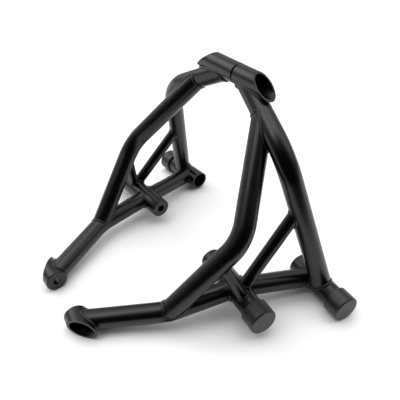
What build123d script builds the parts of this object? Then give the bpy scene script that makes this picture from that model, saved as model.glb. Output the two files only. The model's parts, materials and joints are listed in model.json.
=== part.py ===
"""Motorcycle crash bars: two halves of bent, coped and welded tube, bolted together at the top.

X runs across the motorcycle with the right half at +X. Y runs from the front bosses back to the
rear pegs. Z is up from the floor that the bosses and the rear slider caps stand on. All sizes are in
millimetres. The right half is modelled, and the left half is its mirror image with two differences:
the cross tubes meet right of the middle, and the left mid peg stands further outboard with its plug
and its cap, so its braces run to other places.
"""

import os
from math import cos, radians, sin, tan

from build123d import *

# Tube stock, outside diameters and walls
bar_diameter = 25.0
bar_wall = 2.0
cross_diameter = 25.0
cross_wall = 2.0
peg_diameter = 28.0
peg_wall = 2.5
long_brace_diameter = 15.5
short_brace_diameter = 14.0
brace_wall = 1.5

# Bolt holes and the fits between pieces
mount_hole_diameter = 10.5
joint_hole_diameter = 8.6
spigot_clearance = 0.2
cap_clearance = 0.2
thread_clearance = 0.1

# Pegs and front bosses sweep forwards by this angle, in degrees
peg_sweep = 5.0

# Stations across, from the mirror plane to where the bars meet the transverse tubes
front_boss_x = 43.0
mid_peg_x = 114.0
rear_peg_x = 166.0

# Reaches along Y, from the mid peg to the other transverse tubes
front_reach = 177.0
rear_reach = 99.0
cross_reach = 73.0

# Heights of the transverse tubes that don't stand on the floor
mid_peg_z = 27.5
cross_z = 249.2

# Lengths of the transverse tubes along their own axes, from the bars that they carry
boss_inner = 11.6
boss_outer = 14.5
boss_cut_angle = 46.0
mid_inner = 60.0
mid_outer = 61.0
rear_inner = 47.0
rear_outer = 43.5

# How far outboard the left mid peg stands of the right one's mirror image
left_peg_shift = 21.0

# Cross tubes: the seam where they meet, their reach, and the slant and roll of their oblique ends
seam_x = 9.0
cross_length = 54.3
cross_cut_angle = 51.0
cross_cut_roll = 6.0

# Main tube: start behind and below the cross tube's axis, top of its saddle, and its bend
main_start_x = 20.0
main_start_back = 1.8
main_start_drop = 5.2
saddle_drop = 5.0
main_corner_x = 116.0
main_corner_reach = 54.5
main_corner_z = 196.5
main_bend_radius = 60.0

# Fork tube: start along the main tube's upper run, corner and radius of its bend
fork_start = 50.0
fork_corner_x = 130.0
fork_corner_reach = -8.0
fork_corner_z = 118.0
fork_bend_radius = 54.5

# Lower rail: corner and radius of the front rail's bend, and where the rear rail meets its peg
rail_corner_x = 97.0
rail_corner_reach = -86.0
rail_corner_z = 23.0
rail_bend_radius = 80.0
rear_rail_inset = 19.5

# Long braces: feet outboard along the mid peg's axis, and tops up the main tube from the rear peg
long_foot_right = 9.0
long_foot_left = 36.0
long_top_right = 124.0
long_top_left = 106.0

# Short braces: feet outboard along the mid peg's axis, and tops down the fork tube from its corner
short_foot_right = 25.0
short_foot_left = 35.0
short_top_right = 35.0
short_top_left = 20.0

# Equal tubes stop this far short of the axis that they are coped to
cope_setback = 2.5

# The cope for the front boss runs on this far past the boss's inner end
cope_reach = 10.0

# End plugs: a flange that closes the tube and a spigot inside it
plug_flange = 3.0
plug_spigot = 7.0
plug_chamfer = 0.8
seam_chamfer = 1.6

# Slider caps
cap_diameter = 34.0
cap_length = 22.0
cap_end = 6.0
cap_chamfer = 1.2

# Joining bolt, its nut and its washers
bolt_diameter = 8.0
hex_across_flats = 13.0
bolt_head_height = 5.3
nut_height = 6.5
bolt_overhang = 3.0
washer_diameter = 16.0
washer_thickness = 1.6

# The sweep's direction, and the place of the mid peg that puts the origin mid-way along the part
sweep_angle = radians(peg_sweep)
outward = Vector(cos(sweep_angle), -sin(sweep_angle), 0)
rearward = Vector(sin(sweep_angle), cos(sweep_angle), 0)
peg_radius = peg_diameter / 2
boss_front_length = boss_outer - peg_radius * tan(radians(boss_cut_angle))
front_edge = -front_reach - peg_radius * cos(sweep_angle) - boss_front_length * sin(sweep_angle)
rear_edge = rear_reach + peg_radius * cos(sweep_angle) + rear_inner * sin(sweep_angle)
mid_peg_y = -(front_edge + rear_edge) / 2

# Points where the axes of the tubes meet
boss_point = Vector(front_boss_x, mid_peg_y - front_reach, peg_radius)
mid_point = Vector(mid_peg_x, mid_peg_y, mid_peg_z)
rear_point = Vector(rear_peg_x, mid_peg_y + rear_reach, cap_diameter / 2)
cross_point = Vector(0, mid_peg_y + cross_reach, cross_z)
main_start = cross_point + Vector(main_start_x, main_start_back, -main_start_drop)
main_corner = Vector(main_corner_x, mid_peg_y + main_corner_reach, main_corner_z)
main_upper = (main_corner - main_start).normalized()
main_lower = (rear_point - main_corner).normalized()
fork_root = main_start + main_upper * fork_start
fork_corner = Vector(fork_corner_x, mid_peg_y + fork_corner_reach, fork_corner_z)
rail_corner = Vector(rail_corner_x, mid_peg_y + rail_corner_reach, rail_corner_z)
fork_upper = (fork_corner - fork_root).normalized()
fork_lower = (rail_corner - fork_corner).normalized()
rear_rail_point = rear_point - outward * rear_rail_inset
mid_end = mid_outer - cap_end
rear_end = rear_outer - cap_end

# Planes of the cross tube: square to its axis in the mirror plane, and its oblique end
cross_plane = Plane(origin=cross_point, x_dir=(0, 1, 0), z_dir=(1, 0, 0))
cross_slant = tan(radians(cross_cut_angle))
cross_roll = radians(cross_cut_roll)
cross_tip = cross_length + cross_diameter * cross_slant
cross_cut = Plane(
    origin=cross_point + Vector(cross_length, 0, 0),
    z_dir=(1, cross_slant * sin(cross_roll), cross_slant * cos(cross_roll)),
)


def section_plane(route):
    """Return the plane square to a route at its start."""
    return Plane(origin=route.line @ 0, z_dir=route.line % 0)


def rod_along(route, diameter):
    """Return the solid rod of one diameter along a route, to cope other tubes with."""
    with BuildPart() as rod:
        with BuildSketch(section_plane(route)):
            Circle(diameter / 2)
        sweep(path=route.line)
    return rod.part


def tube_section(diameter, wall):
    """Draw a ring, the section of a tube, in the sketch that is open."""
    Circle(diameter / 2)
    Circle(diameter / 2 - wall, mode=Mode.SUBTRACT)


def peg_plane(point, along):
    """Return the plane square to a swept peg, at a distance along it from a point on its axis."""
    return Plane(origin=point + outward * along, x_dir=rearward, z_dir=outward)


def plug_on(plane, tube_diameter, tube_wall, hole_diameter, edge):
    """Return a drilled end plug whose outer face lies in a plane and whose spigot points along it."""
    with BuildPart() as plug:
        with BuildSketch(plane):
            Circle(tube_diameter / 2)
        extrude(amount=plug_flange)
        outer_face = plug.faces().sort_by(Axis(plane.origin, plane.z_dir))[0]
        chamfer(outer_face.edges(), length=edge)
        with BuildSketch(plane.offset(plug_flange)):
            Circle(tube_diameter / 2 - tube_wall - spigot_clearance)
        extrude(amount=plug_spigot)
        with BuildSketch(plane):
            Circle(hole_diameter / 2)
        extrude(amount=plug_flange + plug_spigot, mode=Mode.SUBTRACT)
    return plug.part


def cap_on(plane):
    """Return a slider cap that seats on a peg's outer end in a plane and reaches back over the peg."""
    skirt = cap_length - cap_end
    with BuildPart() as cap:
        with BuildSketch(plane.offset(-skirt)):
            Circle(cap_diameter / 2)
        extrude(amount=cap_length)
        chamfer(cap.edges(), length=cap_chamfer)
        with BuildSketch(plane.offset(-skirt)):
            Circle(peg_radius + cap_clearance)
        extrude(amount=skirt, mode=Mode.SUBTRACT)
    return cap.part


# Routes of the bars: straight runs joined by tangent arcs
with BuildLine() as main_route:
    FilletPolyline(main_start, main_corner, rear_point, radius=main_bend_radius)
with BuildLine() as fork_route:
    FilletPolyline(
        fork_root + fork_upper * cope_setback,
        fork_corner,
        rail_corner - fork_lower * cope_setback,
        radius=fork_bend_radius,
    )
with BuildLine() as front_rail_route:
    FilletPolyline(boss_point, rail_corner, mid_point, radius=rail_bend_radius)
with BuildLine() as rear_rail_route:
    Line(mid_point, rear_rail_point)

# Solid rods that the tubes are coped to
main_rod = rod_along(main_route, bar_diameter)
fork_rod = rod_along(fork_route, bar_diameter)
front_rail_rod = rod_along(front_rail_route, bar_diameter)
rear_rail_rod = rod_along(rear_rail_route, bar_diameter)
with BuildPart() as cross_rod:
    with BuildSketch(cross_plane.offset(-cross_tip)):
        Circle(cross_diameter / 2)
    extrude(amount=2 * cross_tip)
    split(bisect_by=cross_cut, keep=Keep.BOTTOM)

# Front boss: an oblique outer end that is longer at the rear, and a plug in its inner end
boss_inner_plane = peg_plane(boss_point, -boss_inner)
boss_span = boss_inner + boss_outer + peg_diameter * tan(radians(boss_cut_angle))
boss_cut = Plane(
    origin=boss_point + outward * boss_outer,
    z_dir=outward - rearward * tan(radians(boss_cut_angle)),
)
with BuildPart() as boss_rod:
    with BuildSketch(boss_inner_plane.offset(-cope_reach)):
        Circle(peg_radius)
    extrude(amount=cope_reach + boss_span)
with BuildPart() as front_boss:
    with BuildSketch(boss_inner_plane.offset(plug_flange)):
        tube_section(peg_diameter, peg_wall)
    extrude(amount=boss_span)
    split(bisect_by=boss_cut, keep=Keep.BOTTOM)

# Mid peg's solid rod, long enough for the places of both halves
with BuildPart() as mid_rod:
    with BuildSketch(peg_plane(mid_point, -mid_inner)):
        Circle(peg_radius)
    extrude(amount=mid_inner + mid_end + left_peg_shift)

# Rear peg: an open tube at the foot of the main tube
with BuildPart() as rear_rod:
    with BuildSketch(peg_plane(rear_point, -rear_inner)):
        Circle(peg_radius)
    extrude(amount=rear_inner + rear_end)
with BuildPart() as rear_peg:
    with BuildSketch(peg_plane(rear_point, -rear_inner)):
        tube_section(peg_diameter, peg_wall)
    extrude(amount=rear_inner + rear_end)

# Main tube: from a saddle behind and below the cross tube, round its bend and down to the rear peg
with BuildPart() as main_tube:
    with BuildSketch(section_plane(main_route)):
        tube_section(bar_diameter, bar_wall)
    sweep(path=main_route.line)
    add(cross_rod.part, mode=Mode.SUBTRACT)
    add(rear_rod.part, mode=Mode.SUBTRACT)
    split(bisect_by=Plane(origin=cross_point - Vector(0, 0, saddle_drop)), keep=Keep.BOTTOM)

# Fork tube: coped to the main tube's upper run and to the front rail at its bend
with BuildPart() as fork_tube:
    with BuildSketch(section_plane(fork_route)):
        tube_section(bar_diameter, bar_wall)
    sweep(path=fork_route.line)
    add(main_rod, mode=Mode.SUBTRACT)
    add(front_rail_rod, mode=Mode.SUBTRACT)

# Front rail: from the front boss, round a gentle bend and back to the mid peg
with BuildPart() as front_rail:
    with BuildSketch(section_plane(front_rail_route)):
        tube_section(bar_diameter, bar_wall)
    sweep(path=front_rail_route.line)
    add(boss_rod.part, mode=Mode.SUBTRACT)
    add(mid_rod.part, mode=Mode.SUBTRACT)

# Rear rail: from the mid peg to the rear peg, beside the foot of the main tube
with BuildPart() as rear_rail:
    with BuildSketch(section_plane(rear_rail_route)):
        tube_section(bar_diameter, bar_wall)
    sweep(path=rear_rail_route.line)
    add(mid_rod.part, mode=Mode.SUBTRACT)
    add(rear_rod.part, mode=Mode.SUBTRACT)
    add(main_rod, mode=Mode.SUBTRACT)


def half_of(seam, shift, long_foot, long_top, short_foot, short_top):
    """Return the pieces of a half by name, as on the right.

    Its cross tube starts at the seam, its mid peg is moved outboard by the shift, and its braces run
    from their feet on the mid peg's axis to their tops on the main tube and the fork tube.
    """
    # Cross tube: an oblique outer end that is longer below, and a plug in its inner end
    with BuildPart() as cross_tube:
        with BuildSketch(cross_plane.offset(seam + plug_flange)):
            tube_section(cross_diameter, cross_wall)
        extrude(amount=cross_tip - seam)
        split(bisect_by=cross_cut, keep=Keep.BOTTOM)

    # Mid peg: a tube with a plug in its inner end and a slider cap on its outer end
    with BuildPart() as mid_peg:
        with BuildSketch(peg_plane(mid_point, shift - mid_inner + plug_flange)):
            tube_section(peg_diameter, peg_wall)
        extrude(amount=mid_inner - plug_flange + mid_end)

    # Long brace: from the mid peg back and up to the main tube's lower run
    with BuildLine() as long_brace_route:
        Line(mid_point + outward * long_foot, rear_point - main_lower * long_top)
    with BuildPart() as long_brace:
        with BuildSketch(section_plane(long_brace_route)):
            tube_section(long_brace_diameter, brace_wall)
        sweep(path=long_brace_route.line)
        add(mid_rod.part, mode=Mode.SUBTRACT)
        add(main_rod, mode=Mode.SUBTRACT)
        add(rear_rail_rod, mode=Mode.SUBTRACT)
        add(front_rail_rod, mode=Mode.SUBTRACT)

    # Short brace: from the mid peg up to the fork tube, just below its bend
    with BuildLine() as short_brace_route:
        Line(mid_point + outward * short_foot, fork_corner + fork_lower * short_top)
    with BuildPart() as short_brace:
        with BuildSketch(section_plane(short_brace_route)):
            tube_section(short_brace_diameter, brace_wall)
        sweep(path=short_brace_route.line)
        add(mid_rod.part, mode=Mode.SUBTRACT)
        add(fork_rod, mode=Mode.SUBTRACT)
        add(front_rail_rod, mode=Mode.SUBTRACT)
        add(rear_rail_rod, mode=Mode.SUBTRACT)
        add(rod_along(long_brace_route, long_brace_diameter), mode=Mode.SUBTRACT)

    seam_plane = cross_plane.offset(seam)
    mid_inner_plane = peg_plane(mid_point, shift - mid_inner)
    return {
        "cross_tube": cross_tube.part,
        "cross_plug": plug_on(
            seam_plane, cross_diameter, cross_wall, joint_hole_diameter, seam_chamfer
        ),
        "main_tube": main_tube.part,
        "fork_tube": fork_tube.part,
        "front_rail": front_rail.part,
        "rear_rail": rear_rail.part,
        "long_brace": long_brace.part,
        "short_brace": short_brace.part,
        "front_boss": front_boss.part,
        "front_plug": plug_on(
            boss_inner_plane, peg_diameter, peg_wall, mount_hole_diameter, plug_chamfer
        ),
        "mid_peg": mid_peg.part,
        "mid_plug": plug_on(
            mid_inner_plane, peg_diameter, peg_wall, mount_hole_diameter, plug_chamfer
        ),
        "mid_cap": cap_on(peg_plane(mid_point, shift + mid_end)),
        "rear_peg": rear_peg.part,
        "rear_cap": cap_on(peg_plane(rear_point, rear_end)),
    }


# Joining bolt through the two cross plugs, with its head on the right and its nut on the left
joint_plane = cross_plane.offset(seam_x)
stack = plug_flange + plug_spigot
head_plane = joint_plane.offset(stack + washer_thickness)
nut_plane = joint_plane.offset(-stack - washer_thickness - nut_height)
with BuildPart() as joining_bolt:
    with BuildSketch(nut_plane.offset(-bolt_overhang)):
        Circle(bolt_diameter / 2)
    extrude(amount=bolt_overhang + nut_height + 2 * (stack + washer_thickness))
    with BuildSketch(head_plane):
        RegularPolygon(radius=hex_across_flats / 2, side_count=6, major_radius=False)
    extrude(amount=bolt_head_height)
with BuildPart() as joining_nut:
    with BuildSketch(nut_plane):
        RegularPolygon(radius=hex_across_flats / 2, side_count=6, major_radius=False)
        Circle(bolt_diameter / 2 + thread_clearance, mode=Mode.SUBTRACT)
    extrude(amount=nut_height)
with BuildPart() as joining_washers:
    for seat in (stack, -stack - washer_thickness):
        with BuildSketch(joint_plane.offset(seat)):
            Circle(washer_diameter / 2)
            Circle(joint_hole_diameter / 2, mode=Mode.SUBTRACT)
        extrude(amount=washer_thickness)

# Every piece by name: the right half, the left half as a mirror image and the fasteners between them
right_half = half_of(
    seam_x, 0.0, long_foot_right, long_top_right, short_foot_right, short_top_right
)
left_half = half_of(
    -seam_x, left_peg_shift, long_foot_left, long_top_left, short_foot_left, short_top_left
)
pieces = {f"{name}_right": piece for name, piece in right_half.items()}
for name, piece in left_half.items():
    with BuildPart() as twin:
        mirror(piece, about=Plane.YZ)
    pieces[f"{name}_left"] = twin.part
pieces["joining_bolt"] = joining_bolt.part
pieces["joining_nut"] = joining_nut.part
pieces["joining_washers"] = joining_washers.part

os.makedirs("parts", exist_ok=True)
for name, piece in pieces.items():
    piece.label = name
    export_step(piece, f"parts/{name}.step")
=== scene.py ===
"""Dress the crash bars: powder coat, slider plastic and zinc plate, and the welds at the joints.

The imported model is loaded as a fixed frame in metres. X runs across the motorcycle, Y from the
front bosses back to the rear pegs and Z up from the floor. The tubes, plugs, caps and fasteners are
the model's own. The weld beads along their coped joints, and the welds that close the main tubes'
ends, are made here.
"""

from __future__ import annotations

import json
import logging
import math
from dataclasses import dataclass, replace
from enum import Enum

import bpy
import numpy as np
from mathutils import Matrix, Vector

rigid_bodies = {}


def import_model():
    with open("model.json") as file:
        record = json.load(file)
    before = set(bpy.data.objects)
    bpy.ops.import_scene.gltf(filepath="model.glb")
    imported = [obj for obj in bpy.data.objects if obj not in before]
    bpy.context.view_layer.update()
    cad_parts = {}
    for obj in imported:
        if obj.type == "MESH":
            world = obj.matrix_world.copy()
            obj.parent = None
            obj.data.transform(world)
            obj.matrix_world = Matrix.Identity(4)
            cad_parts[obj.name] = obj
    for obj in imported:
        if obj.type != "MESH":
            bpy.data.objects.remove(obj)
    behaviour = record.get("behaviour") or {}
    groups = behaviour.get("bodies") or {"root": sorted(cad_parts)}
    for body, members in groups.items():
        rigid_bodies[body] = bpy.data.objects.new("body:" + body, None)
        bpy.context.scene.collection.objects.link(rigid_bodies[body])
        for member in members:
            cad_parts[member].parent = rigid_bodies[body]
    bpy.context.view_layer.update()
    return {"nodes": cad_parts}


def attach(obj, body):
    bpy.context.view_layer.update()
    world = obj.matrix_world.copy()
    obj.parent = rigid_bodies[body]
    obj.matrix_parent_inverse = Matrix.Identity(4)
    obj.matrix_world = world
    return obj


LOG = logging.getLogger("crash_bars")

Array = np.ndarray
Point = tuple[float, float, float]
Colour = tuple[float, float, float]
Pair = tuple[float, float]
Socket = bpy.types.NodeSocket
Feed = Socket | float | Colour | Vector

FULL_TURN = 2.0 * math.pi
RIGHT_ANGLE = 90.0
WHITE: Colour = (1.0, 1.0, 1.0)
ALONG_X = np.array([1.0, 0.0, 0.0])
ALONG_Z = np.array([0.0, 0.0, 1.0])

# A direction whose cosine to Z, up or down, is at least this is crossed with X, any other with Z.
STEEP_COSINE = 0.9

# How far to each side of a point a tube's gap is read to find its slope, in metres.
SLOPE_STEP = 1e-6

# The radians by which Blender's wave texture turns in one unit of length at scale 1.
WAVE_TURN = 20.0


class Side(Enum):
    """The two halves of the crash bars, with the sign of their X."""

    RIGHT = 1.0
    LEFT = -1.0

    @property
    def label(self) -> str:
        """Return the half's name as the model's nodes end in it."""
        return self.name.lower()


class Coat(Enum):
    """The three finishes, by the name of their slot in the record."""

    POWDER = "powder_coat"
    SLIDER = "slider_plastic"
    ZINC = "fastener_steel"


class Blend(Enum):
    """What a Mix node mixes, by Blender's name for it."""

    COLOUR = "RGBA"
    VALUE = "FLOAT"


def unit(vectors: Array) -> Array:
    """Scale vectors to length one.

    Args:
        vectors: One vector, or an array of them along the last axis.

    Returns:
        The same vectors, each divided by its length.
    """
    return vectors / np.linalg.norm(vectors, axis=-1, keepdims=True)


def across(direction: Array) -> tuple[Array, Array]:
    """Find two directions square to one direction and to each other.

    Args:
        direction: The unit direction of a tube's axis.

    Returns:
        Two unit vectors that span the tube's section.
    """
    helper = ALONG_Z if abs(direction[2]) < STEEP_COSINE else ALONG_X
    first = unit(np.cross(helper, direction))
    return first, np.cross(direction, first)


def around(count: int) -> Array:
    """Share out a full turn into a number of even angles, from zero."""
    return np.linspace(0.0, FULL_TURN, count, endpoint=False)


def spokes(axis: Array, count: int) -> Array:
    """Share out unit vectors evenly round an axis.

    Each is the cosine of its angle along one direction across the axis, and the sine along the
    other.

    Args:
        axis: The unit direction of the axis.
        count: How many vectors to make.

    Returns:
        The vectors, one a row.
    """
    first, second = across(axis)
    turn = around(count)[:, None]
    return np.cos(turn) * first + np.sin(turn) * second


def read_off(stations: Array, distances: Array, rows: Array) -> Array:
    """Read vectors off a line at new stations, each component by straight interpolation.

    Args:
        stations: The distances along the line to read at.
        distances: The distances at which the vectors are known.
        rows: The known vectors, one a row.

    Returns:
        The vectors at the new stations, one a row.
    """
    return np.stack([np.interp(stations, distances, column) for column in rows.T], axis=1)


def mesh_points(node: bpy.types.Object) -> Array:
    """Read an object's vertices, placed in the world.

    Args:
        node: The object.

    Returns:
        The points, one a row.
    """
    flat = np.empty(3 * len(node.data.vertices), dtype=np.float32)
    node.data.vertices.foreach_get("co", flat)
    place = np.array(node.matrix_world)
    return flat.reshape(-1, 3) @ place[:3, :3].T + place[:3, 3]


class NodeBoard:
    """A node tree with short calls to place nodes and feed their sockets."""

    def __init__(self, tree: bpy.types.NodeTree) -> None:
        """Keep the tree and empty it."""
        self.tree = tree
        tree.nodes.clear()

    def feed(self, target: Socket, value: Feed) -> None:
        """Give an input socket a link from another socket, or a value of its own.

        Args:
            target: The input socket.
            value: An output socket, or a number, a vector or a colour.
        """
        if isinstance(value, Socket):
            self.tree.links.new(value, target)
        else:
            target.default_value = (*value, 1.0) if target.type == "RGBA" else value

    def add(
        self, kind: str, inputs: dict[str | int, Feed] | None = None, **settings: object
    ) -> bpy.types.Node:
        """Place one node.

        Args:
            kind: The node's type name in Blender.
            inputs: What to feed its input sockets, by their names or numbers.
            settings: Properties of the node, which are set first.

        Returns:
            The new node.
        """
        node = self.tree.nodes.new(kind)
        for name, value in settings.items():
            setattr(node, name, value)
        for name, value in (inputs or {}).items():
            self.feed(node.inputs[name], value)
        return node

    def math(self, operation: str, *terms: Socket | float) -> Socket:
        """Place a Math node.

        Args:
            operation: The name of the operation.
            terms: Sockets or numbers for its inputs, in order.

        Returns:
            The node's output socket.
        """
        node = self.add("ShaderNodeMath", dict(enumerate(terms)), operation=operation)
        return node.outputs[0]

    def span(self, value: Socket, low: float, high: float) -> Socket:
        """Spread a value from the range 0 to 1 over another range.

        Args:
            value: The socket to spread.
            low: The result where the value is 0.
            high: The result where the value is 1.

        Returns:
            The socket with the new range.
        """
        inputs = {"Value": value, "To Min": low, "To Max": high}
        return self.add("ShaderNodeMapRange", inputs).outputs["Result"]

    def step(self, value: Socket, start: float, end: float) -> Socket:
        """Raise a value smoothly from 0 to 1 between two limits.

        Args:
            value: The socket to read.
            start: The value at which the result leaves 0.
            end: The value at which it reaches 1.

        Returns:
            The socket with the smooth step.
        """
        inputs = {"Value": value, "From Min": start, "From Max": end}
        node = self.add("ShaderNodeMapRange", inputs, interpolation_type="SMOOTHSTEP")
        return node.outputs["Result"]

    def cosine(self, place: Socket, direction: Vector) -> Socket:
        """Find the cosine of the angle between a socket's unit vector and a fixed direction.

        Args:
            place: The socket with the vector.
            direction: The fixed unit direction.

        Returns:
            The socket with the cosine.
        """
        inputs = {0: place, 1: direction}
        return self.add("ShaderNodeVectorMath", inputs, operation="DOT_PRODUCT").outputs["Value"]

    def noise(self, place: Socket, scale: Socket | float, detail: float) -> Socket:
        """Place a noise texture.

        Args:
            place: The socket with the coordinates.
            scale: The noise's scale.
            detail: How many finer layers it has.

        Returns:
            The socket with the noise, from 0 to 1.
        """
        inputs = {"Vector": place, "Scale": scale, "Detail": detail}
        return self.add("ShaderNodeTexNoise", inputs).outputs["Fac"]

    def mix(self, factor: Socket, low: Feed, high: Feed, blend: Blend = Blend.COLOUR) -> Socket:
        """Mix two colours or two values by a factor.

        Args:
            factor: The socket with the share of the second one.
            low: The first one, plain or from a socket.
            high: The second one.
            blend: Which of the two kinds is mixed.

        Returns:
            The mixture's socket.
        """
        inputs = {"Factor": factor, "A": low, "B": high}
        return self.add("ShaderNodeMix", inputs, data_type=blend.value).outputs["Result"]


@dataclass(frozen=True)
class FineGrain:
    """A shared effect: the fine unevenness of a sprayed or moulded skin, and the dust on it."""

    name: str = "fine_grain"
    peel_detail: float = 3.0
    patch_scale: float = 55.0
    patch_detail: float = 5.0
    speck_scale: float = 900.0
    speck_detail: float = 1.0
    speck_threshold: float = 0.7
    speck_gain: float = 8.0

    def tree(self) -> bpy.types.NodeTree:
        """Make the node group, or find it if it is made.

        Returns:
            The group. Peel is the fine height, Patch a slow mottle and Dust the specks' mask.
        """
        if self.name in bpy.data.node_groups:
            return bpy.data.node_groups[self.name]
        group = bpy.data.node_groups.new(self.name, "ShaderNodeTree")
        board = NodeBoard(group)
        sockets = group.interface
        sockets.new_socket("Vector", in_out="INPUT", socket_type="NodeSocketVector")
        sockets.new_socket("Peel Scale", in_out="INPUT", socket_type="NodeSocketFloat")
        for output in ("Peel", "Patch", "Dust"):
            sockets.new_socket(output, in_out="OUTPUT", socket_type="NodeSocketFloat")
        given = board.add("NodeGroupInput").outputs
        peel = board.noise(given["Vector"], given["Peel Scale"], self.peel_detail)
        patch = board.noise(given["Vector"], self.patch_scale, self.patch_detail)
        speck = board.noise(given["Vector"], self.speck_scale, self.speck_detail)
        above = board.math("SUBTRACT", speck, self.speck_threshold)
        dust = board.math("MULTIPLY", above, self.speck_gain)
        dust.node.use_clamp = True
        board.add("NodeGroupOutput", {"Peel": peel, "Patch": patch, "Dust": dust})
        return group


class SkinBoard(NodeBoard):
    """The node tree of a grained finish: Object coordinates, the shared grain and one shader."""

    def __init__(self, name: str, peel_scale: float) -> None:
        """Make the material, and place the coordinates and the grain.

        Args:
            name: The material's name.
            peel_scale: The scale of the fine height.
        """
        self.material = bpy.data.materials.new(name)
        self.material.use_nodes = True
        super().__init__(self.material.node_tree)
        self.place = self.add("ShaderNodeTexCoord").outputs["Object"]
        inputs = {"Vector": self.place, "Peel Scale": peel_scale}
        self.grain = self.add("ShaderNodeGroup", inputs, node_tree=FineGrain().tree()).outputs

    def close(self, looks: dict[str, Feed], height: Socket, rise: float) -> bpy.types.Material:
        """Place the shader, bump it and join it to the output.

        Args:
            looks: What to feed the shader's sockets, by their names.
            height: The socket with the height of the bump.
            rise: The bump's height where the socket is 1, in metres.

        Returns:
            The finished material.
        """
        bump = self.add("ShaderNodeBump", {"Distance": rise, "Height": height})
        skin = self.add("ShaderNodeBsdfPrincipled", {**looks, "Normal": bump.outputs["Normal"]})
        self.add("ShaderNodeOutputMaterial", {"Surface": skin.outputs["BSDF"]})
        return self.material


@dataclass(frozen=True)
class PowderCoat:
    """Satin black powder coat on the steel: fine orange peel, a slow mottle and a few specks."""

    deep: Colour = (0.0014, 0.0014, 0.0015)
    pale: Colour = (0.0026, 0.0026, 0.0028)
    speck: Colour = (0.012, 0.012, 0.012)
    smooth: float = 0.22
    rough: float = 0.30
    ior: float = 1.47
    peel_scale: float = 620.0
    peel_height: float = 0.00008

    def material(self) -> bpy.types.Material:
        """Make the material from Object coordinates.

        Returns:
            The finished material.
        """
        board = SkinBoard("satin_black_powder_coat", self.peel_scale)
        clean = board.mix(board.grain["Patch"], self.deep, self.pale)
        looks = {
            "Base Color": board.mix(board.grain["Dust"], clean, self.speck),
            "Roughness": board.span(board.grain["Patch"], self.smooth, self.rough),
            "IOR": self.ior,
        }
        return board.close(looks, board.grain["Peel"], self.peel_height)


@dataclass(frozen=True)
class SliderPlastic:
    """Black slider plastic, turned on a lathe: fine rings, a satin side and a dull end face, whose
    lighter grey is painted light.
    """

    deep: Colour = (0.006, 0.006, 0.0062)
    pale: Colour = (0.011, 0.011, 0.0114)
    # The end face's lighter grey is painted light: the brightness that falls on the face, put into
    # its colour.
    face: Colour = (0.055, 0.055, 0.057)
    smooth: float = 0.26
    rough: float = 0.40
    face_rough: float = 0.55
    face_skin: float = 0.0001
    peel_scale: float = 380.0
    peel_height: float = 0.00006
    ring_pitch: float = 0.0009
    ring_height: float = 0.00003

    def material(self, name: str, point: Array, axis: Array, end: float) -> bpy.types.Material:
        """Make the material for one cap.

        Object coordinates are turned so that Z runs along the cap's axis. Waves along Z mark the
        side, and waves round the point mark the end face. What lies at the end, to within a thin
        skin, is the face.

        Args:
            name: The name to give it.
            point: A point on the cap's axis.
            axis: The unit direction of the axis, outwards.
            end: The distance of the cap's end face from the point.

        Returns:
            The finished material.
        """
        board = SkinBoard(name, self.peel_scale)
        turn = Matrix([*across(axis), axis])
        mapping = {
            "Vector": board.place,
            "Location": -(turn @ Vector(point)),
            "Rotation": turn.to_euler("XYZ"),
        }
        centred = board.add("ShaderNodeMapping", mapping).outputs["Vector"]
        wave = {"Vector": centred, "Scale": FULL_TURN / WAVE_TURN / self.ring_pitch}
        rings = board.add("ShaderNodeTexWave", wave, wave_type="RINGS", rings_direction="Z")
        bands = board.add("ShaderNodeTexWave", wave, wave_type="BANDS", bands_direction="Z")
        marks = board.math("ADD", rings.outputs["Fac"], bands.outputs["Fac"])
        share = self.ring_height / self.peel_height
        height = board.math("MULTIPLY_ADD", marks, share, board.grain["Peel"])
        along = board.add("ShaderNodeSeparateXYZ", {"Vector": centred}).outputs["Z"]
        on_face = board.math("GREATER_THAN", along, end - self.face_skin)
        side = board.mix(board.grain["Patch"], self.deep, self.pale)
        side_rough = board.span(board.grain["Patch"], self.smooth, self.rough)
        looks = {
            # Painted light: the end face takes the lighter grey face colour.
            "Base Color": board.mix(on_face, side, self.face),
            "Roughness": board.mix(on_face, side_rough, self.face_rough, Blend.VALUE),
        }
        return board.close(looks, height, self.peel_height)


@dataclass(frozen=True)
class ZincPlate:
    """Bright zinc plate on the joining bolt, nut and washers: cool grey with a faint bloom."""

    deep: Colour = (0.42, 0.43, 0.45)
    pale: Colour = (0.60, 0.61, 0.62)
    smooth: float = 0.28
    rough: float = 0.46
    metallic: float = 1.0
    peel_scale: float = 900.0
    peel_height: float = 0.00004

    def material(self) -> bpy.types.Material:
        """Make the material from Object coordinates.

        Returns:
            The finished material.
        """
        board = SkinBoard("zinc_plated_steel", self.peel_scale)
        looks = {
            "Base Color": board.mix(board.grain["Patch"], self.deep, self.pale),
            "Roughness": board.span(board.grain["Peel"], self.smooth, self.rough),
            "Metallic": self.metallic,
        }
        return board.close(looks, board.grain["Peel"], self.peel_height)


@dataclass(frozen=True)
class StraightRun:
    """The outside of a straight tube, as a distance from its axis."""

    point: Array
    direction: Array
    radius: float

    def gap(self, points: Array) -> Array:
        """Measure how far points lie outside the tube.

        The distance from the axis is the length of the offset from the axis's point, less its part
        along the axis. The tube's radius is taken off it.

        Args:
            points: Points along the last axis of an array.

        Returns:
            The distances, below zero inside the tube.
        """
        offset = points - self.point
        along = offset @ self.direction
        return np.linalg.norm(offset - along[..., None] * self.direction, axis=-1) - self.radius


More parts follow.
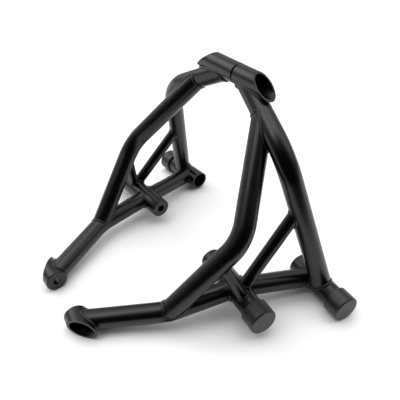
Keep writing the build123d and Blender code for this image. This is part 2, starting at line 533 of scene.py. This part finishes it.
@dataclass(frozen=True)
class BentRun:
    """The outside of a tube with one bend: two straight runs and the arc tangent to both."""

    start: Array
    corner: Array
    end: Array
    bend_radius: float
    radius: float

    def gap(self, points: Array) -> Array:
        """Measure how far points lie outside the tube.

        Between the planes that are square to the axis where the arc begins and ends, the distance
        from the axis is taken to the arc's circle: the root of the squares of the height off the
        circle's plane and of the distance from its centre in the plane, less the circle's radius.
        Before and after them it is taken to the straight run there.

        Args:
            points: Points along the last axis of an array.

        Returns:
            The distances, below zero inside the tube.
        """
        before, after = unit(self.corner - self.start), unit(self.end - self.corner)
        half_turn = math.acos(float(before @ after)) / 2.0
        shoulder = self.bend_radius * math.tan(half_turn)
        centre = self.corner + unit(after - before) * self.bend_radius / math.cos(half_turn)
        normal = unit(np.cross(before, after))
        first = StraightRun(self.start, before, self.radius).gap(points)
        second = StraightRun(self.end, after, self.radius).gap(points)
        offset = points - centre
        height = offset @ normal
        reach = np.linalg.norm(offset - height[..., None] * normal, axis=-1)
        arc = np.hypot(reach - self.bend_radius, height) - self.radius
        past_first = (points - self.corner) @ before + shoulder
        past_second = (points - self.corner) @ after - shoulder
        return np.where(past_first < 0.0, first, np.where(past_second > 0.0, second, arc))


Run = StraightRun | BentRun


def outward_normal(run: Run, points: Array) -> Array:
    """Find a tube's outward normal, as the slope of its gap in the three directions.

    Args:
        run: The tube.
        points: Points on its outside, one a row.

    Returns:
        Unit normals, one a row.
    """
    steps = np.eye(3) * SLOPE_STEP
    slope = run.gap(points[:, None, :] + steps) - run.gap(points[:, None, :] - steps)
    return unit(slope)


def grid_object(name: str, points: Array, ring: bool) -> bpy.types.Object:
    """Put a grid of points into a closed mesh.

    The faces are turned to look outwards, by the sign of the volume that they enclose.

    Args:
        name: The object's name.
        points: Points lengthwise and then round the section.
        ring: Whether the last row joins the first. If not, one face closes each end.

    Returns:
        The object, at the origin.
    """
    rows, columns = points.shape[:2]
    last = rows if ring else rows - 1
    row, column = np.meshgrid(np.arange(last), np.arange(columns), indexing="ij")
    next_row, next_column = (row + 1) % rows, (column + 1) % columns
    sides = [(row, column), (row, next_column), (next_row, next_column), (next_row, column)]
    quads = np.stack([r * columns + c for r, c in sides], axis=-1).reshape(-1, 4)
    flat = points.reshape(-1, 3)
    a, b, c, d = (flat[quads[:, corner]] - flat.mean(0) for corner in range(4))
    outward = np.sum(a * np.cross(b, c)) + np.sum(a * np.cross(c, d)) > 0.0
    faces = quads.tolist()
    if not ring:
        first_end, last_end = range(columns), range((rows - 1) * columns, rows * columns)
        faces += [list(first_end)[::-1], list(last_end)]
    if not outward:
        faces = [face[::-1] for face in faces]
    mesh = bpy.data.meshes.new(name)
    mesh.from_pydata(flat.tolist(), [], faces)
    mesh.polygons.foreach_set("use_smooth", np.ones(len(faces), dtype=bool))
    mesh.update()
    piece = bpy.data.objects.new(name, mesh)
    bpy.context.scene.collection.objects.link(piece)
    return piece


@dataclass(frozen=True)
class WeldBead:
    """One weld bead round a tube's coped end, where it stands on another tube.

    Attributes:
        size: The section's radius. The lifts of its centre and the ripples' depth are shares of it.
        ripple_trail: The share of a ripple by which the section's sides lag behind its crown.
        square_lift: The lift where the two tubes' normals are square to each other.
        open_drop: How much it falls as the normals come to point the same way.
        narrow_rise: How much it grows as they come to point against each other.
        first_step: Where the search for the toe begins along the tube, from its foot.
        last_step: Where that search ends.
        floor: The height below which no point goes.
    """

    name: str
    foot: Array
    direction: Array
    branch_radius: float
    run: Run
    size: float
    ripple_pitch: float = 0.0021
    ripple_depth: float = 0.07
    ripple_trail: float = 0.3
    least_ripples: int = 12
    samples_a_ripple: int = 8
    section_points: int = 14
    tangent_samples: int = 2
    square_lift: float = 0.2
    open_drop: float = 0.5
    narrow_rise: float = 0.8
    toe_samples: int = 720
    first_step: float = -0.05
    last_step: float = 0.08
    coarse_steps: int = 131
    halvings: int = 28
    floor: float = 0.0

    def toe_line(self) -> tuple[Array, Array]:
        """Find the line where the tube's outside leaves the other tube.

        On each straight line along the tube's outside, the last point that still lies inside the
        other tube is found on a coarse row of steps, and the crossing after it is halved down. A
        line that only passes the other tube keeps its nearest point. Where the line leaves the
        other tube before the tube itself begins, the toe stays on the rim of the tube's end.

        Returns:
            The points of the line and the tube's own outward normals there.
        """
        normals = spokes(self.direction, self.toe_samples)
        roots = self.foot + normals * self.branch_radius
        steps = np.linspace(self.first_step, self.last_step, self.coarse_steps)
        gaps = self.run.gap(roots[:, None, :] + steps[None, :, None] * self.direction)
        inside = gaps < 0.0
        meets = inside.any(1)
        last_inside = self.coarse_steps - 1 - inside[:, ::-1].argmax(1)
        last = np.where(meets, last_inside, gaps.argmin(1))
        low = steps[last]
        high = steps[np.minimum(last + 1, self.coarse_steps - 1)]
        for _ in range(self.halvings):
            middle = (low + high) / 2.0
            within = self.run.gap(roots + middle[:, None] * self.direction) < 0.0
            low = np.where(within, middle, low)
            high = np.where(within, high, middle)
        reach = np.where(meets, low, steps[last])
        return roots + reach[:, None] * self.direction, normals

    def surface(self) -> Array:
        """Carry the bead's round section along the closed toe line.

        The line is shared out evenly by its length. Across it, the section turns in the plane
        square to the line, from the direction half-way between the two tubes' normals. The
        section's centre stands further out where the tubes close to a narrow angle and further in
        where they run on into each other. Its radius swells and drops once a ripple, and the
        ripples trail at the section's sides, as the metal behind a moving torch sets.

        Returns:
            Points on a grid, lengthwise and then round the section.
        """
        toe, branch_normal = self.toe_line()
        lengths = np.linalg.norm(np.roll(toe, -1, axis=0) - toe, axis=1)
        distance = np.concatenate([[0.0], np.cumsum(lengths)])
        ripples = max(self.least_ripples, round(distance[-1] / self.ripple_pitch))
        even = np.linspace(0.0, distance[-1], ripples * self.samples_a_ripple, endpoint=False)
        line = read_off(even, distance, np.vstack([toe, toe[:1]]))
        own = unit(read_off(even, distance, np.vstack([branch_normal, branch_normal[:1]])))
        other = outward_normal(self.run, line)
        ahead, behind = (np.roll(line, turn * self.tangent_samples, axis=0) for turn in (-1, 1))
        tangent = unit(ahead - behind)
        between = own + other
        out = unit(between - np.sum(between * tangent, axis=1, keepdims=True) * tangent)
        side = np.cross(tangent, out)
        facing = np.sum(own * other, axis=1)
        slope = np.where(facing > 0.0, self.open_drop, self.narrow_rise)
        lift = self.size * (self.square_lift - slope * facing)
        turn = around(self.section_points)
        cosine, sine = np.cos(turn)[None, :], np.sin(turn)[None, :]
        phase = even[:, None] / distance[-1] * ripples + self.ripple_trail * cosine
        ripple = 1.0 - (phase % 1.0) ** 2
        radius = self.size * (1.0 - self.ripple_depth + self.ripple_depth * ripple)
        spoke = cosine[..., None] * out[:, None, :] + sine[..., None] * side[:, None, :]
        points = (line + lift[:, None] * out)[:, None, :] + radius[:, :, None] * spoke
        points[..., 2] = np.maximum(points[..., 2], self.floor)
        return points

    def build(self) -> bpy.types.Object:
        """Make the bead's object, at the origin."""
        return grid_object(self.name, self.surface(), ring=True)


@dataclass(frozen=True)
class EndWeld:
    """Weld metal over the part of a tube's square end that stands clear of the tube above it.

    Attributes:
        thickness: Half the metal's thickness in the middle of the arc.
        end_share: The share of it that is left at the arc's two ends.
        sink: How far the metal reaches into the other tube.
        overlap: How far it reaches past the rim and that depth.
    """

    name: str
    foot: Array
    direction: Array
    rim_radius: float
    run: StraightRun
    thickness: float = 0.0011
    end_share: float = 0.4
    sink: float = 0.0006
    overlap: float = 0.0003
    rows: int = 49
    columns: int = 16
    rim_samples: int = 1440
    reach_steps: int = 401

    def rim(self) -> Array:
        """Share out the arc of the rim that lies outside the other tube.

        Returns:
            Points on the circle in the middle of the tube's wall, one a row.
        """
        circle = self.foot + self.rim_radius * spokes(self.direction, self.rim_samples)
        clear = self.run.gap(circle) > 0.0
        start = int(np.flatnonzero(clear & ~np.roll(clear, 1))[0])
        arc = np.roll(circle, -start, axis=0)[: int(clear.sum())]
        return arc[np.linspace(0, len(arc) - 1, self.rows).round().astype(int)]

    def surface(self) -> Array:
        """Carry an oval section along the rim's arc.

        From each point of the arc a line runs in the plane of the tube's end, towards the other
        tube's axis, until it is a little inside that tube. The oval lies along this line and
        reaches a little past both its ends. Its thickness runs along the tube and drops towards
        both ends of the arc.

        Returns:
            Points on a grid, along the arc and then round the section.
        """
        rim = self.rim()
        offset = self.run.point - self.foot
        offset = offset - (offset @ self.run.direction) * self.run.direction
        inward = unit(offset - (offset @ self.direction) * self.direction)
        steps = np.linspace(0.0, 2.0 * self.rim_radius, self.reach_steps)
        gaps = self.run.gap(rim[:, None, :] + steps[None, :, None] * inward)
        sunk = gaps < -self.sink
        reach = steps[np.where(sunk.any(1), sunk.argmax(1), gaps.argmin(1))]
        swell = np.sin(np.linspace(0.0, np.pi, self.rows))
        thick = self.thickness * (self.end_share + (1.0 - self.end_share) * swell)
        turn = around(self.columns)
        centre = rim + (reach / 2.0)[:, None] * inward
        along = (reach / 2.0 + self.overlap)[:, None] * np.cos(turn)
        depth = thick[:, None] * np.sin(turn)
        return centre[:, None, :] + along[..., None] * inward + depth[..., None] * self.direction

    def build(self) -> bpy.types.Object:
        """Make the weld's object, at the origin."""
        return grid_object(self.name, self.surface(), ring=False)


@dataclass
class HalfFrame:
    """One half of the bars: the axes of its tubes, and the welds where they meet.

    Points are given for the right half, with Y from the mid peg. Pairs hold the right half's value
    and the left half's.
    """

    side: Side
    bar_radius: float = 0.0125
    bar_wall: float = 0.002
    cross_radius: float = 0.0125
    peg_radius: float = 0.014
    long_brace_radius: float = 0.00775
    short_brace_radius: float = 0.007
    peg_sweep: float = 5.0
    mid_peg_y: float = 0.036952
    cross_point: Point = (0.0, 0.073, 0.2492)
    boss_point: Point = (0.043, -0.177, 0.014)
    mid_point: Point = (0.114, 0.0, 0.0275)
    rear_point: Point = (0.166, 0.099, 0.017)
    main_start: Point = (0.020, 0.0748, 0.244)
    main_corner: Point = (0.116, 0.0545, 0.1965)
    fork_corner: Point = (0.130, -0.008, 0.118)
    rail_corner: Point = (0.097, -0.086, 0.023)
    fork_start: float = 0.050
    main_bend_radius: float = 0.060
    fork_bend_radius: float = 0.0545
    rail_bend_radius: float = 0.080
    rear_rail_inset: float = 0.0195
    long_feet: Pair = (0.009, 0.036)
    long_tops: Pair = (0.124, 0.106)
    short_feet: Pair = (0.025, 0.035)
    short_tops: Pair = (0.035, 0.020)
    bar_bead: float = 0.0021
    brace_bead: float = 0.0017

    def at(self, point: Point) -> Array:
        """Place a point that is measured from the mid peg's Y, on this half's side."""
        return np.array([point[0] * self.side.value, point[1] + self.mid_peg_y, point[2]])

    def of_side(self, pair: Pair) -> float:
        """Pick this half's value from a pair of the right half's and the left half's."""
        return pair[0] if self.side is Side.RIGHT else pair[1]

    @property
    def outward(self) -> Array:
        """Return the direction of the pegs and bosses, away from the motorcycle."""
        sweep = math.radians(self.peg_sweep)
        return np.array([math.cos(sweep) * self.side.value, -math.sin(sweep), 0.0])

    @property
    def cross_run(self) -> StraightRun:
        """Return the outside of the cross tube."""
        return StraightRun(self.at(self.cross_point), ALONG_X, self.cross_radius)

    def peg_run(self, centre: Array) -> StraightRun:
        """Return the outside of the peg or boss about a point."""
        return StraightRun(centre, self.outward, self.peg_radius)

    def bead(self, name: str, foot: Array, ahead: Array, radius: float, run: Run) -> WeldBead:
        """Describe one bead.

        Args:
            name: The joint's name.
            foot: The point where the tube's axis meets the other tube's.
            ahead: A point further along the tube.
            radius: The tube's radius.
            run: The tube that it stands on.

        Returns:
            The bead, smaller on a brace.
        """
        size = self.bar_bead if radius == self.bar_radius else self.brace_bead
        label = f"weld_{name}_{self.side.label}"
        return WeldBead(label, foot, unit(ahead - foot), radius, run, size)

    def beads(self) -> list[WeldBead]:
        """List the twelve beads of this half.

        Returns:
            The beads, in the order in which the tubes are welded on.
        """
        boss, mid, rear = (self.at(p) for p in (self.boss_point, self.mid_point, self.rear_point))
        start, corner = self.at(self.main_start), self.at(self.main_corner)
        fork_corner, rail_corner = self.at(self.fork_corner), self.at(self.rail_corner)
        fork_root = start + unit(corner - start) * self.fork_start
        rear_rail_end = rear - self.outward * self.rear_rail_inset
        long_foot = mid + self.outward * self.of_side(self.long_feet)
        long_top = rear - unit(rear - corner) * self.of_side(self.long_tops)
        short_foot = mid + self.outward * self.of_side(self.short_feet)
        short_top = fork_corner + unit(rail_corner - fork_corner) * self.of_side(self.short_tops)
        boss_peg, mid_peg, rear_peg = (self.peg_run(centre) for centre in (boss, mid, rear))
        bar, long, short = self.bar_radius, self.long_brace_radius, self.short_brace_radius
        main = BentRun(start, corner, rear, self.main_bend_radius, bar)
        fork = BentRun(fork_root, fork_corner, rail_corner, self.fork_bend_radius, bar)
        rail = BentRun(boss, rail_corner, mid, self.rail_bend_radius, bar)
        on_cross = self.bead("main_cross", start, corner, bar, self.cross_run)
        return [
            replace(on_cross, first_step=0.0),
            self.bead("main_rear_peg", rear, corner, bar, rear_peg),
            self.bead("fork_main", fork_root, fork_corner, bar, main),
            self.bead("fork_rail", rail_corner, fork_corner, bar, rail),
            self.bead("rail_boss", boss, rail_corner, bar, boss_peg),
            self.bead("rail_mid_peg", mid, rail_corner, bar, mid_peg),
            self.bead("rear_rail_mid_peg", mid, rear_rail_end, bar, mid_peg),
            self.bead("rear_rail_rear_peg", rear_rail_end, mid, bar, rear_peg),
            self.bead("long_brace_mid_peg", long_foot, long_top, long, mid_peg),
            self.bead("long_brace_main", long_top, long_foot, long, main),
            self.bead("short_brace_mid_peg", short_foot, short_top, short, mid_peg),
            self.bead("short_brace_fork", short_top, short_foot, short, fork),
        ]

    def end_weld(self) -> EndWeld:
        """Describe the weld that closes the main tube's end below the cross tube.

        Returns:
            The weld, along the circle in the middle of the tube's wall.
        """
        start, corner = self.at(self.main_start), self.at(self.main_corner)
        middle = self.bar_radius - self.bar_wall / 2.0
        label = f"weld_main_end_{self.side.label}"
        return EndWeld(label, start, unit(corner - start), middle, self.cross_run)

    def dress(self, coat: bpy.types.Material) -> None:
        """Build this half's welds, coat them and let them ride on the bars.

        Args:
            coat: The powder coat.
        """
        for weld in [*self.beads(), self.end_weld()]:
            piece = weld.build()
            piece.data.materials.append(coat)
            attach(piece, "root")
            LOG.info("%s: %d faces", piece.name, len(piece.data.polygons))

    def caps(self) -> dict[str, Array]:
        """Return the slider caps' names and a point on the axis of each."""
        named = {"mid_cap": self.mid_point, "rear_cap": self.rear_point}
        return {f"{name}_{self.side.label}": self.at(point) for name, point in named.items()}


@dataclass
class CoatedNodes:
    """The model's own nodes: which finish each one has."""

    nodes: dict[str, bpy.types.Object]
    halves: list[HalfFrame]
    slider: SliderPlastic = SliderPlastic()
    zinc: ZincPlate = ZincPlate()

    def coat_of(self, name: str) -> Coat:
        """Tell a node's finish by its name.

        Args:
            name: The node's name.

        Returns:
            Slider plastic for a cap, zinc for a joining fastener and powder coat for the rest.
        """
        if "_cap_" in name:
            return Coat.SLIDER
        return Coat.ZINC if name.startswith("joining_") else Coat.POWDER

    def cap_materials(self) -> dict[str, bpy.types.Material]:
        """Make each slider cap's material, about its own axis.

        Returns:
            The materials, by the names of the caps' nodes.
        """
        made = {}
        for half in self.halves:
            for name, point in half.caps().items():
                end = float(((mesh_points(self.nodes[name]) - point) @ half.outward).max())
                label = f"slider_plastic_{name}"
                made[name] = self.slider.material(label, point, half.outward, end)
        return made

    def dress(self, powder: bpy.types.Material) -> None:
        """Give every node its material.

        Args:
            powder: The powder coat, which the welds share.
        """
        plain = {Coat.POWDER: powder, Coat.ZINC: self.zinc.material()}
        caps = self.cap_materials()
        for name, node in self.nodes.items():
            coat = self.coat_of(name)
            made = caps[name] if coat is Coat.SLIDER else plain[coat]
            for slot in node.material_slots:
                slot.material = made
            LOG.info("%s: %s", name, made.name)


@dataclass(frozen=True)
class SoftBox:
    """A soft lamp in the tent: its direction, its light, and the cosine at which it fades out."""

    azimuth: float
    elevation: float
    light: float
    edge: float


@dataclass
class Studio:
    """A pale floor, a soft light tent and the photograph's camera."""

    lens: float = 39.98
    sensor: float = 36.0
    clip_range: Pair = (0.01, 60.0)
    azimuth: float = 56.22
    elevation: float = 36.55
    camera_place: Point = (0.4014, -0.2073, 0.4392)
    floor_size: float = 24.0
    floor_front: float = 0.30
    floor_colour: Colour = (0.99, 0.99, 0.99)
    floor_seen: Colour = (1.12, 1.12, 1.12)
    horizon_light: float = 0.45
    height_light: float = 0.42
    dark_elevation: float = -9.0
    dark_from: float = -0.52
    dark_to: float = 0.75
    boxes: tuple[SoftBox, ...] = (
        SoftBox(236.0, 78.0, 1.8, 0.84),
        SoftBox(-18.0, 57.0, 2.5, 0.915),
        SoftBox(-68.0, 32.0, 2.0, 0.91),
        SoftBox(146.0, 45.0, 0.9, 0.85),
    )

    @staticmethod
    def direction(azimuth: float, elevation: float) -> Vector:
        """Find a direction by its azimuth from the front towards the right, and its elevation.

        Args:
            azimuth: The angle about the vertical, in degrees.
            elevation: The angle above the floor, in degrees.

        Returns:
            The unit vector from the bars in that direction.
        """
        turn, rise = math.radians(azimuth), math.radians(elevation)
        level = math.cos(rise)
        return Vector((math.sin(turn) * level, -math.cos(turn) * level, math.sin(rise)))

    @property
    def right(self) -> Vector:
        """Return the camera's right, which is level."""
        return self.direction(self.azimuth + RIGHT_ANGLE, 0.0)

    def camera(self) -> None:
        """Stand the camera where the photograph was taken from.

        Its back direction follows from the azimuth and the elevation, its right is level, and its
        up is square to both.
        """
        back = self.direction(self.azimuth, self.elevation)
        axes = Matrix((self.right, back.cross(self.right), back)).transposed()
        data = bpy.data.cameras.new("photo_camera")
        data.lens, data.sensor_width = self.lens, self.sensor
        data.clip_start, data.clip_end = self.clip_range
        camera = bpy.data.objects.new("photo_camera", data)
        camera.matrix_world = Matrix.Translation(self.camera_place) @ axes.to_4x4()
        bpy.context.scene.collection.objects.link(camera)
        bpy.context.scene.camera = camera

    def paper(self) -> bpy.types.Material:
        """Make the floor's material.

        Its colour takes the light and the shadows. For the camera and for reflections alone it is
        lifted a little, to white.

        Returns:
            The finished material.
        """
        made = bpy.data.materials.new("pale_floor")
        made.use_nodes = True
        board = NodeBoard(made.node_tree)
        path = board.add("ShaderNodeLightPath").outputs
        seen = board.math("MAXIMUM", path["Is Camera Ray"], path["Is Glossy Ray"])
        seen = board.math("MAXIMUM", seen, path["Is Transmission Ray"])
        colour = board.mix(seen, self.floor_colour, self.floor_seen)
        skin = board.add("ShaderNodeBsdfDiffuse", {"Color": colour})
        board.add("ShaderNodeOutputMaterial", {"Surface": skin.outputs["BSDF"]})
        return made

    def floor(self) -> None:
        """Lay a sheet of pale paper that renders white where nothing shades it.

        It runs far to the back and to both sides, and ends a little in front of the bars, so that
        the dark room on the camera's side shows in their lower sides.
        """
        half, front = self.floor_size / 2.0, self.floor_front
        ahead = self.direction(self.azimuth, 0.0)
        reach = np.array([[-half, front], [half, front], [half, -half], [-half, -half]])
        corners = reach @ np.array([self.right, ahead])
        mesh = bpy.data.meshes.new("floor")
        mesh.from_pydata(corners.tolist(), [], [[0, 1, 2, 3]])
        mesh.materials.append(self.paper())
        floor = bpy.data.objects.new("floor", mesh)
        bpy.context.scene.collection.objects.link(floor)

    def tent(self) -> None:
        """Light the bars from a pale tent that is dark on the camera's side, and from soft boxes.

        The tent's light has a share at the horizon and a part that grows with the height of the
        direction. Towards a direction low on the camera's side it fades out smoothly with the
        cosine of the angle. Each soft box swells about its own direction. The camera itself sees
        white beyond the floor.
        """
        world = bpy.data.worlds.new("light_tent")
        bpy.context.scene.world = world
        world.use_nodes = True
        board = NodeBoard(world.node_tree)
        place = board.add("ShaderNodeTexCoord").outputs["Generated"]
        rise = board.add("ShaderNodeSeparateXYZ", {"Vector": place}).outputs["Z"]
        tent = board.math("MULTIPLY_ADD", rise, self.height_light, self.horizon_light)
        dark = board.cosine(place, self.direction(self.azimuth, self.dark_elevation))
        share = board.math("SUBTRACT", 1.0, board.step(dark, self.dark_from, self.dark_to))
        strength = board.math("MULTIPLY", tent, share)
        for box in self.boxes:
            toward = board.cosine(place, self.direction(box.azimuth, box.elevation))
            near = board.step(toward, box.edge, 1.0)
            strength = board.math("MULTIPLY_ADD", near, box.light, strength)
        light = board.add("ShaderNodeBackground", {"Color": WHITE, "Strength": strength})
        white = board.add("ShaderNodeBackground", {"Color": WHITE})
        seen = board.add("ShaderNodeLightPath").outputs["Is Camera Ray"]
        shaders = {0: seen, 1: light.outputs["Background"], 2: white.outputs["Background"]}
        choose = board.add("ShaderNodeMixShader", shaders)
        board.add("ShaderNodeOutputWorld", {"Surface": choose.outputs["Shader"]})

    def build(self) -> None:
        """Set up the camera, the floor and the light."""
        self.camera()
        self.floor()
        self.tent()
        bpy.context.scene.view_settings.view_transform = "Standard"


def main() -> None:
    """Load the frame, set up the studio and dress the bars."""
    logging.basicConfig(level=logging.INFO, format="%(name)s %(message)s")
    for thing in list(bpy.data.objects):
        bpy.data.objects.remove(thing)
    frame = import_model()
    Studio().build()
    halves = [HalfFrame(side) for side in Side]
    powder = PowderCoat().material()
    CoatedNodes(frame["nodes"], halves).dress(powder)
    for half in halves:
        half.dress(powder)
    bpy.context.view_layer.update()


if __name__ == "__main__":
    main()
